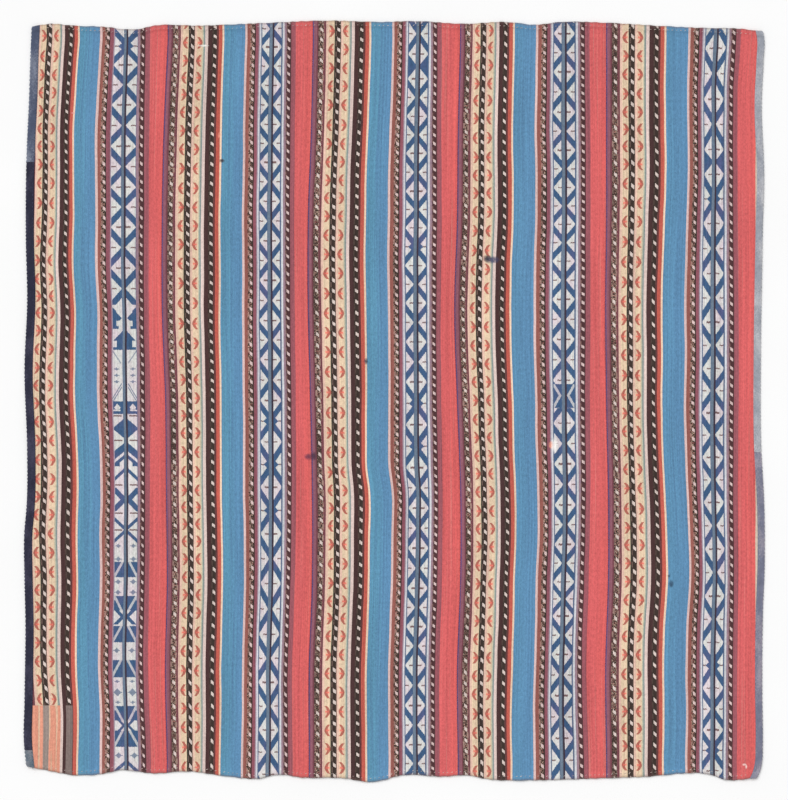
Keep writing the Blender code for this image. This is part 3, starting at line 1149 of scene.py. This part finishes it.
    def lattice_band(self, second_group):
        middle, gap, width = lattice_span(second_group)
        from_middle = abs(self.stair - middle)
        inside = (from_middle > gap) * (from_middle < gap + width)
        count = self.finish.attribute("lattice") + self.jump * 0.02
        step = self.finish.attribute("lattice_step")
        bold = self.finish.chance((count + 0.5).whole(), 90 + self.number) * 1.3
        filled = self.finish.chance(count.whole(), 94 + self.number) > 0.86
        pale, marks = lattice(self.stair, count, step, middle, gap, width, bold, filled)
        if self.number in FIGURE_ROWS:
            pale, marks = self.figures(from_middle - gap, pale, marks)
        pinkish = self.grain("pinkish")
        pale_yarn = self.mixed("white lattice", "pinkish lattice", ((pinkish - 0.42) * 5.0).held())
        blue_yarn = self.mixed("blue lattice", "violet lattice", ((pinkish - 0.45) * 4.0).held())
        woven = self.finish.over(blue_yarn, pale_yarn, pale)
        woven = self.finish.over(woven, PATTERN_YARNS["lattice dash"], marks * pale)
        self.lay(woven, inside)

    def plain_corner(self):
        """The corner of the first strip where the pattern stops and the warp goes on plain."""
        below = self.along < PLAIN_CORNER_TOP
        width, length = PLAIN_GRAIN
        pale = self.finish.noise(self.across / width, self.along / length, 5) > 0.58
        salmon = self.mixed("salmon", "pale salmon", pale)
        faded = self.finish.over(salmon, PATTERN_YARNS["plain grey"], self.within(*PLAIN_GREY))
        self.lay(faded, below * (self.stair < PLAIN_CORNER_SIDE))
        self.lay("plain brown", below * self.within(*PLAIN_BROWN))

    def worn_end(self):
        """The turned end of the hem, made darker within a few millimetres of each end."""
        from_end = self.finish.attribute("from_end")
        worn = 1.0 - from_end / DARKENED_END_DEPTH + (self.heather - 0.5) * 1.5
        self.lay("worn", worn.held() * 0.55)

    def marks_of_use(self):
        x, y = self.finish.place_in_room()
        rough = self.finish.noise(x / MARK_GRAIN, y / MARK_GRAIN, 9)
        for tint, mark_x, mark_y, wide, high in MARKS[self.number]:
            aside = (x - float(mark_x)) / wide
            up = (y - float(mark_y)) / high
            mark = 1.5 - (aside * aside + up * up) - rough * 0.9
            self.lay(tint, mark.held() * 0.9)

    def shade(self):
        """Lighter and darker threads, the slow drift of their shade, and fine heather."""
        fine = (self.heather - 0.5) * 0.74 + (self.grain("mottle") - 0.5) * 0.46
        drift = self.grain("drift") - 0.5
        self.colour = self.finish.shaded(self.colour, 1.0 + (self.streak - 0.5) * 0.86 + drift * 0.30 + fine)

    def relief(self):
        """Cords of warp, and the wefts that dent them."""
        return self.grain("cord") * 0.6 + self.grain("weft") * 0.4 + self.heather * 0.25


def woven_wool(number):
    second_group = FIRST_STRIP_SECOND_GROUP if number == 1 else SECOND_GROUP
    wool = Wool(number)
    wool.stripes(second_group)
    wool.dyeing()
    wool.flecks()
    wool.large_dashes()
    wool.small_dashes()
    wool.chevron_rows()
    wool.lattice_band(second_group)
    if number == 1:
        wool.plain_corner()
    wool.worn_end()
    wool.marks_of_use()
    wool.shade()
    return wool.finish.close(wool.colour, wool.relief(), WOOL_RELIEF, 0.95, 0.08)


# %% [markdown]
# A strip is laid out between its two sides and its two ends, in rows and columns of points
# about five millimetres apart, closer where the selvedge rounds off and where the hem
# steps up. The sides depend on the height and the ends on the place across, so both are
# worked out a few times in turn until they settle. The place on the weave is then found
# from the selvedges and the blue band, so that each band bends as it does on the rug.

# %% Five woven strips
COLUMN_SPACING = 5.2
ROW_SPACING = 5.0
SETTLE_PASSES = 4
SIDE_ROUND = (0.0, 0.7, 2.0)
END_ROUND = (0.0, 0.7, 2.0, 5.0, 10.0, 12.0, 14.0)
ROUND_DROP = (0.62, 0.16, 0.0)
HEM_DROP = 1 + 0.6 * HEM_EXTRA / STRIP_CLOTH
EDGE_WIGGLE = 0.55
WIGGLE_STEP = 4.7
WIGGLE_DRIFT = 17.0
WIGGLE_REACH = 30.0
HEM_TURNING = 12.0
# Where the pattern of the last strip ends, lower down and at the top, and where that changes
PATTERN_END = 793.0
PATTERN_END_MORE = 6.0
PATTERN_END_RISES = 690.0
PATTERN_END_RISE = 110.0


def stations(low, high, near_low, near_high, steps):
    """Places from low to high: the given distances near both ends, and even steps between."""
    start = low + near_low[-1]
    end = high - near_high[-1]
    shares = np.linspace(0.0, 1.0, steps + 1)
    places = [low + distance for distance in near_low[:-1]]
    places += [start + share * (end - start) for share in shares]
    places += [high - distance for distance in near_high[-2::-1]]
    return np.array(places)


def strip_left(number, x, y):
    """The left side of a strip. The first one ends inside the fold of the tape."""
    if number == 1:
        return left_edge(y) + tape_height_at(x, y) / 2 + EDGE_ROOM
    return seams[number - 2](y) + PIECE_GAP / 2


def strip_right(number, x, y):
    """The right side of a strip. The last one ends inside the fold of the tape."""
    if number == STRIPS:
        return right_edge(y) - tape_height_at(x, y) / 2 - EDGE_ROOM
    return seams[number - 1](y) - PIECE_GAP / 2


def place_on_weave(number, x, y):
    """Across the weave, from the left selvedge, the blue band, the red band and the right selvedge."""
    middle = blue_middles[number - 1](y)
    if number == 1:
        start = middle - first_reach(y)
    else:
        start = seams[number - 2](y)
    if number == STRIPS:
        end = PATTERN_END + PATTERN_END_MORE * np.clip((y - PATTERN_END_RISES) / PATTERN_END_RISE, 0.0, 1.0)
    else:
        end = seams[number - 1](y)
    red_start = end - red_widths[number - 1](y)
    red_at = STRIP_WIDTH - SECOND_GROUP[-2][1]
    left_part = BLUE_MIDDLE * (x - start) / (middle - start)
    middle_part = BLUE_MIDDLE + (red_at - BLUE_MIDDLE) * (x - middle) / (red_start - middle)
    right_part = red_at + (STRIP_WIDTH - red_at) * (x - red_start) / (end - red_start)
    return np.where(x < middle, left_part, np.where(x < red_start, middle_part, right_part))


def rounded(distance):
    """How far the surface drops within the rounded edge."""
    return np.interp(distance, SIDE_ROUND, ROUND_DROP)


def strip_grid(number):
    """The places of a strip's points, and where its two sides lie beside each of them."""
    left = strip_left(number, 0.0, 0.0)
    right = strip_right(number, 0.0, 0.0)
    columns = round(float(right - left) / COLUMN_SPACING)
    rows = round(float(top_edge(left) - bottom_edge(left)) / ROW_SPACING)
    x = np.atleast_2d(stations(left, right, SIDE_ROUND, SIDE_ROUND, columns))
    share = (x - left) / (right - left)
    for _ in range(SETTLE_PASSES):
        y = stations(bottom_edge(x[0]), top_edge(x[-1]), END_ROUND, END_ROUND, rows)
        left = strip_left(number, x, y)
        right = strip_right(number, x, y)
        x = left + share * (right - left)
    return x, y, left, right


def woven_strip(number):
    """One strip, stepped up over the tape where it has one, with the size it was cut to."""
    x, y, left, right = strip_grid(number)
    lift = np.zeros_like(x)
    if number == 1:
        lift = ramp(x - left, STEP_START, STEP_END)
    if number == STRIPS:
        lift = ramp(right - x, STEP_START, STEP_END)
    base = (TAPE_CLOTH + PIECE_GAP) * lift + rise_at(x, y)
    to_end = from_ends(x, y)
    under = rounded(to_end)
    drop = rounded(np.minimum(x - left, right - x)) + under * HEM_DROP
    wiggle = np.sin(x / WIGGLE_STEP + np.sin(x / WIGGLE_DRIFT) * 2)
    cloth_y = y + EDGE_WIGGLE * np.exp(-to_end / WIGGLE_REACH) * wiggle * np.sign(y)
    lower = np.stack([x, cloth_y, base + under], axis=2)
    upper = np.stack([x, cloth_y, base + thickness_at(x, y) - drop], axis=2)
    cloth_map = np.stack([place_on_weave(number, x, y), y], axis=2)
    attributes = motif_attributes(number, y)
    attributes["from_end"] = to_end
    piece = closed_cloth(f"woven_strip_{number}", lower, upper, cloth_map, attributes, woven_wool(number))
    width = float(np.mean(right - left))
    length = float(np.mean(y[-1] - y[0])) + 2 * HEM_TURNING
    print(piece.name, "faces:", len(piece.data.polygons), "flat mm:", round(width), "x", round(length))
    return piece, width * MM, length * MM


cloth_pieces = []
for strip_number in range(1, STRIPS + 1):
    piece, width, length = woven_strip(strip_number)
    cloth_pieces.append((piece, f"strip_{strip_number}", f"woven_strip_{strip_number}", width, length))

# %% [markdown]
# The binding is one layer of thin cotton tape folded over the rug's side. Its section is
# a long flat run under the rug, a half turn round the edge, and a flat run on top. The same
# section is carried along the edge, and the outer and inner faces of the cloth are two
# grids, as in the strips. Real tape is drawn in a little by each stitch, which gives the
# edge its small scallops.

# %% Binding finish
TAPE_COLOURS = {
    "binding_left_top": (dyed(78, 86, 108), dyed(126, 132, 148)),
    "binding_left_middle": (dyed(42, 42, 60), dyed(66, 64, 84)),
    "binding_left_bottom": (dyed(94, 108, 120), dyed(136, 136, 142)),
    "binding_right_top": (dyed(152, 156, 166), dyed(186, 186, 190)),
    "binding_right_bottom": (dyed(114, 117, 137), dyed(158, 151, 163)),
}

# How far from the fold the cotton is faded
FOLD_WEAR = 6.0
COTTON_RELIEF = 0.0007


def tape_cotton(name, seed):
    """Plain-woven cotton, faded along its fold and in patches."""
    dark, light = TAPE_COLOURS[name]
    cotton = Finish(f"cotton_{name}")
    across, along = cotton.place_on_cloth()
    patch = cotton.noise(across / 30.0, along / 70.0, seed, 3.0)
    yarn = cotton.noise(across / 1.3, along / 5.0, seed + 1, 2.0, 0.7)
    pick = cotton.noise(across / 5.0, along / 1.4, seed + 2, 2.0, 0.7)
    blot = cotton.noise(across / 8.0, along / 15.0, seed + 3, 2.0)
    fade = (patch - 0.45) * 4.0 + (yarn - 0.5) * 2.2 + (pick - 0.5) * 2.2
    on_fold = 1.0 - (abs(across) / FOLD_WEAR & 1.0)
    colour = cotton.over(dark, light, (fade + on_fold * 0.5).held())
    colour = cotton.shaded(colour, 0.50 + yarn * 0.20 + pick * 0.20 + blot * 0.60)
    relief = yarn * 0.5 + pick * 0.5
    return cotton.close(colour, relief, COTTON_RELIEF, 0.9, 0.05)


# %% Five lengths of binding
# The heights where one length of tape ends and the next starts
LEFT_JOINS = (-767.0, 526.0)
RIGHT_JOINS = (-112.0,)
LEFT_NAMES = ("binding_left_bottom", "binding_left_middle", "binding_left_top")
RIGHT_NAMES = ("binding_right_bottom", "binding_right_top")
FOLD_STEPS = 8
FLAT_STEPS = 6
TAPE_ROW_SPACING = 4.0
TAPE_TURNING = 8.0
SCALLOP = 0.8
SCALLOP_STEP = 9.0
SCALLOP_REACH = 6.0


def tape_face(edge, side, low, high, ends, depth):
    """One face of the tape: under the rug, round its edge, and on top of it."""
    turn = np.linspace(-0.5 * np.pi, -1.5 * np.pi, FOLD_STEPS + 1)
    columns = 2 * FLAT_STEPS + len(turn)
    tape_width = TAPE_WIDTHS[side]
    x = edge(0.0) + side * np.full((1, columns), tape_width)
    rows = max(2, round(float(np.mean(high(x[-1]) - low(x[0]))) / TAPE_ROW_SPACING))
    for _ in range(SETTLE_PASSES):
        y = stations(low(x[0]), high(x[-1]), ends[0], ends[1], rows)
        height = tape_height_at(x, y)
        radius = height[:, FLAT_STEPS:-FLAT_STEPS] / 2
        inward = np.full_like(y, tape_width)
        inward[:, FLAT_STEPS:-FLAT_STEPS] = radius + (radius - depth) * np.cos(turn)
        for step in range(FLAT_STEPS):
            share = step / FLAT_STEPS
            inward[:, step] = tape_width + share * (inward[:, FLAT_STEPS] - tape_width)
            inward[:, -1 - step] = tape_width + share * (inward[:, -1 - FLAT_STEPS] - tape_width)
        x = edge(y) + side * inward
    up = np.full_like(y, depth)
    up[:, FLAT_STEPS:-FLAT_STEPS] = radius + (radius - depth) * np.sin(turn)
    up[:, -FLAT_STEPS:] = height[:, -FLAT_STEPS:] - depth
    drawn_in = SCALLOP - SCALLOP * hand_wave(y, SCALLOP_STEP, 0.0, 31.0, 2)
    x = x + side * drawn_in * np.exp(-inward / SCALLOP_REACH)
    return np.stack([x, y, up + rise_at(x, y)], axis=2)


def level(height):
    """A straight cut across the tape."""
    return lambda x: np.full_like(x, height)


def side_bindings(edge, side, joins, names):
    """The lengths of tape along one side, from the lower end up. Side is 1 on the left, -1 on the right."""
    lows = [bottom_edge] + [level(join + PIECE_GAP / 2) for join in joins]
    highs = [level(join - PIECE_GAP / 2) for join in joins] + [top_edge]
    for name, low, high in zip(names, lows, highs):
        ends = (
            END_ROUND if low is bottom_edge else SIDE_ROUND,
            END_ROUND if high is top_edge else SIDE_ROUND,
        )
        inner = tape_face(edge, side, low, high, ends, TAPE_CLOTH)
        outer = tape_face(edge, side, low, high, ends, 0.0)
        girth = np.cumsum(np.linalg.norm(np.diff(outer[0], axis=0), axis=1))
        girth = np.concatenate([[0.0], girth])
        across = np.tile(girth - girth[-1] / 2, (outer.shape[0], 1))
        cloth_map = np.stack([across, outer[:, :, 1]], axis=2)
        grids = [grid[::-1, ::side] for grid in (inner, outer, cloth_map)]
        material = tape_cotton(name, 100 + 10 * len(cloth_pieces))
        piece = closed_cloth(f"tape_{name}", *grids, {}, material)
        length = float(np.ptp(outer[:, :, 1])) + TAPE_TURNING
        print(piece.name, "flat mm:", round(float(girth[-1])), "x", round(length))
        cloth_pieces.append((piece, name, name, float(girth[-1]) * MM, length * MM))


side_bindings(left_edge, 1, LEFT_JOINS, LEFT_NAMES)
side_bindings(right_edge, -1, RIGHT_JOINS, RIGHT_NAMES)

# %% [markdown]
# Sewing repeats, so Geometry Nodes make it. One tree takes a line, walks along it in steps,
# and lays one short arched thread at each step, turned by the slant of the stitch and by
# a seeded wobble, because no hand sews two stitches alike. The same tree serves the slanted
# lacing of the seams, the pale stitches of the hems and the running stitches of the tape.

# %% Stitch tree
STITCH_INPUTS = (
    ("Line", "NodeSocketGeometry", None),
    ("Step", "NodeSocketFloat", 0.008),
    ("Length", "NodeSocketFloat", 0.005),
    ("Arch", "NodeSocketFloat", 0.0006),
    ("Thread Radius", "NodeSocketFloat", 0.0004),
    ("Slant", "NodeSocketFloat", 0.0),
    ("Wobble", "NodeSocketFloat", 0.12),
    ("Thread", "NodeSocketMaterial", None),
)
# The ends of a stitch go down into the cloth and its middle stands up, as shares of its arch
STITCH_ENDS = -1.4
STITCH_CREST = 2.2
THREAD_SIDES = 5
# The smallest and largest stitch as shares of the length, and the seeds of size and turn
STITCH_SIZES = (0.82, 1.15)
SIZE_SEED = 11
TURN_SEED = 7


def stitch_tree():
    """A line in, a row of arched threads out."""
    tree = bpy.data.node_groups.new("hand_stitches", "GeometryNodeTree")
    sockets = {}
    for name, kind, value in STITCH_INPUTS:
        socket = tree.interface.new_socket(name, in_out="INPUT", socket_type=kind)
        if value is not None:
            socket.default_value = value
        sockets[name] = socket.identifier
    tree.interface.new_socket("Stitches", in_out="OUTPUT", socket_type="NodeSocketGeometry")

    def add(kind, settings=None, **values):
        node = tree.nodes.new(kind)
        for name, value in (settings or {}).items():
            setattr(node, name, value)
        for name, value in values.items():
            socket = node.inputs[name.replace("_", " ")]
            if isinstance(value, bpy.types.NodeSocket):
                tree.links.new(value, socket)
            else:
                socket.default_value = value
        return node

    given = add("NodeGroupInput").outputs

    def maths(operation, first, second):
        node = tree.nodes.new("ShaderNodeMath")
        node.operation = operation
        for number, value in enumerate((first, second)):
            if isinstance(value, bpy.types.NodeSocket):
                tree.links.new(value, node.inputs[number])
            else:
                node.inputs[number].default_value = value
        return node.outputs[0]

    half = maths("MULTIPLY", given["Length"], 0.5)
    back = maths("MULTIPLY", given["Length"], -0.5)
    sunk = maths("MULTIPLY", given["Arch"], STITCH_ENDS)
    crest = maths("MULTIPLY", given["Arch"], STITCH_CREST)
    start = add("ShaderNodeCombineXYZ", X=back, Z=sunk).outputs[0]
    middle = add("ShaderNodeCombineXYZ", Z=crest).outputs[0]
    end = add("ShaderNodeCombineXYZ", X=half, Z=sunk).outputs[0]
    bend = {"Start": start, "Middle": middle, "End": end}
    arch = add("GeometryNodeCurveQuadraticBezier", Resolution=THREAD_SIDES, **bend)
    ring = add("GeometryNodeCurvePrimitiveCircle", Resolution=THREAD_SIDES, Radius=given["Thread Radius"])
    profile = ring.outputs[0]
    thread = add("GeometryNodeCurveToMesh", Curve=arch.outputs[0], Profile_Curve=profile, Fill_Caps=True)

    line = add("GeometryNodeMeshToCurve", Mesh=given["Line"])
    places = add("GeometryNodeCurveToPoints", {"mode": "LENGTH"}, Curve=line.outputs[0], Length=given["Step"])
    facing = add("FunctionNodeAlignRotationToVector", {"axis": "X"}, Vector=places.outputs["Tangent"])
    low = maths("MULTIPLY", given["Wobble"], -1.0)
    turn = add("FunctionNodeRandomValue", {"data_type": "FLOAT"})
    tree.links.new(low, turn.inputs[2])
    tree.links.new(given["Wobble"], turn.inputs[3])
    turn.inputs["Seed"].default_value = TURN_SEED
    angle = maths("ADD", turn.outputs[1], given["Slant"])
    spin = add("ShaderNodeCombineXYZ", Z=angle).outputs[0]
    turned = add("FunctionNodeRotateRotation", {"rotation_space": "LOCAL"}, Rotation=facing.outputs[0])
    tree.links.new(spin, turned.inputs[1])
    size = add("FunctionNodeRandomValue", {"data_type": "FLOAT"})
    size.inputs[2].default_value, size.inputs[3].default_value = STITCH_SIZES
    size.inputs["Seed"].default_value = SIZE_SEED
    laid = add(
        "GeometryNodeInstanceOnPoints",
        Points=places.outputs[0],
        Instance=thread.outputs[0],
        Rotation=turned.outputs[0],
        Scale=size.outputs[1],
    )
    real = add("GeometryNodeRealizeInstances", Geometry=laid.outputs[0])
    dyed_thread = add("GeometryNodeSetMaterial", Geometry=real.outputs[0], Material=given["Thread"])
    out = tree.nodes.new("NodeGroupOutput")
    tree.links.new(dyed_thread.outputs[0], out.inputs[0])
    return tree, sockets


stitches, stitch_sockets = stitch_tree()
print("stitch tree nodes:", len(stitches.nodes))


# %% Thread finishes
THREAD_RELIEF = 0.0002


def sewing_thread(name, dark, light, seed):
    """Plied thread, a little uneven in shade."""
    thread = Finish(name)
    x, y = thread.place_in_room()
    shade = thread.noise(x / 6.0, y / 6.0, seed, 2.0)
    twist = thread.noise(x / 0.5, y / 0.5, seed + 1, 1.0)
    colour = thread.over(dark, light, ((shade - 0.4) * 4.0).held())
    return thread.close(colour, twist, THREAD_RELIEF, 0.85)


plum_thread = sewing_thread("thread_plum", dyed(108, 62, 78), dyed(168, 84, 92), 201)
pale_thread = sewing_thread("thread_pale", dyed(176, 160, 154), dyed(232, 220, 208), 211)
navy_thread = sewing_thread("thread_navy", dyed(52, 56, 82), dyed(84, 88, 112), 221)
grey_thread = sewing_thread("thread_grey", dyed(126, 134, 150), dyed(176, 180, 190), 231)


# %% [markdown]
# Each line of sewing is a chain of points on the cloth's surface. The seams are laced with
# slanting stitches that cross from strip to strip. The hem thread runs beside the turned
# end. The tape's thread runs just inside its edge.

# %% Lines of sewing
LINE_STEP = 4.0
HEM_LINE = 8.6
TAPE_LINE = 2.8
SEAM_SHIFT = 0.6
# How far the hem's and the tape's thread sways from its line, and how slowly, in millimetres
HEM_SWAY = (0.8, 37.0)
TAPE_SWAY = (0.5, 41.0)
# Where the lines start and end, and how deep their threads lie in the cloth
SEAM_ENDS = 2.0
HEM_SPAN = (-790.0, 786.0)
TAPE_SPAN = (-806.0, 806.0)
SEAM_DEPTH = 0.25
THREAD_DEPTH = 0.05
# Sizes of the stitches in metres, and their slant and wobble in radians
SEAM_STITCHES = {
    "Step": 0.0058, "Length": 0.0038, "Arch": 0.0005, "Thread Radius": 0.00040,
    "Slant": 0.9, "Wobble": 0.22,
}
HEM_STITCHES = {
    "Step": 0.0095, "Length": 0.0046, "Arch": 0.0005, "Thread Radius": 0.00050,
    "Slant": 0.35, "Wobble": 0.35,
}
TAPE_STITCHES = {
    "Step": 0.0085, "Length": 0.0046, "Arch": 0.0004, "Thread Radius": 0.0004,
    "Slant": 0.0, "Wobble": 0.15,
}


def sewn_line(name, x, y, height, sizes, material):
    """Lays stitches along a line of places in millimetres, and turns the result into a plain mesh."""
    chain = bpy.data.meshes.new(name)
    points = np.stack([x, y, height], axis=1) * MM
    edges = [(i, i + 1) for i in range(len(points) - 1)]
    chain.from_pydata(points.tolist(), edges, [])
    carrier = bpy.data.objects.new(name + "_line", chain)
    scene.collection.objects.link(carrier)
    modifier = carrier.modifiers.new("stitches", "NODES")
    modifier.node_group = stitches
    for label, value in sizes.items():
        modifier[stitch_sockets[label]] = value
    modifier[stitch_sockets["Thread"]] = material
    ready = carrier.evaluated_get(bpy.context.evaluated_depsgraph_get())
    mesh = bpy.data.meshes.new_from_object(ready)
    bpy.data.objects.remove(carrier, do_unlink=True)
    mesh.name = name
    piece = bpy.data.objects.new(name, mesh)
    scene.collection.objects.link(piece)
    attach(piece, "root")
    print(name, "faces:", len(mesh.polygons))


def sway(place, reach, length):
    return reach * np.sin(place / length)


for number, seam in enumerate(seams, start=1):
    lowest = float(bottom_edge(seam(-800.0))) + SEAM_ENDS
    highest = float(top_edge(seam(800.0))) - SEAM_ENDS
    y = np.arange(lowest, highest, LINE_STEP)
    x = seam(y)
    height = rise_at(x, y) + thickness_at(x, y) - SEAM_DEPTH
    name = f"seam_lacing_{number}"
    sewn_line(name, x + SEAM_SHIFT, y, height, SEAM_STITCHES, plum_thread)

for name, edge, way in (("hem_stitches_top", top_edge, -1), ("hem_stitches_bottom", bottom_edge, 1)):
    x = np.arange(*HEM_SPAN, LINE_STEP)
    y = edge(x) + way * (HEM_LINE + sway(x, *HEM_SWAY))
    height = rise_at(x, y) + thickness_at(x, y) - THREAD_DEPTH
    sewn_line(name, x, y, height, HEM_STITCHES, pale_thread)

for name, edge, side, material, slot_name in (
    ("tape_stitches_left", left_edge, 1, navy_thread, "binding_navy"),
    ("tape_stitches_right", right_edge, -1, grey_thread, "binding_pale_grey"),
):
    y = np.arange(*TAPE_SPAN, LINE_STEP)
    x = edge(y) + side * (TAPE_WIDTHS[side] - TAPE_LINE + sway(y, *TAPE_SWAY))
    height = rise_at(x, y) + tape_height_at(x, y) - THREAD_DEPTH
    sewn_line(name, x, y, height, TAPE_STITCHES, material)

# %% [markdown]
# Last, every piece of cloth is tied to the rug's one body and takes the place of its CAD
# solid. The strips were cut longer than they show, because a hem turns under at each end.

# %% Ride and replace
# The record's slot of each tape. A strip's slot has the same name as the strip.
for piece, node, slot_name, width, length in cloth_pieces:
    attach(piece, "root")
    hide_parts(node)
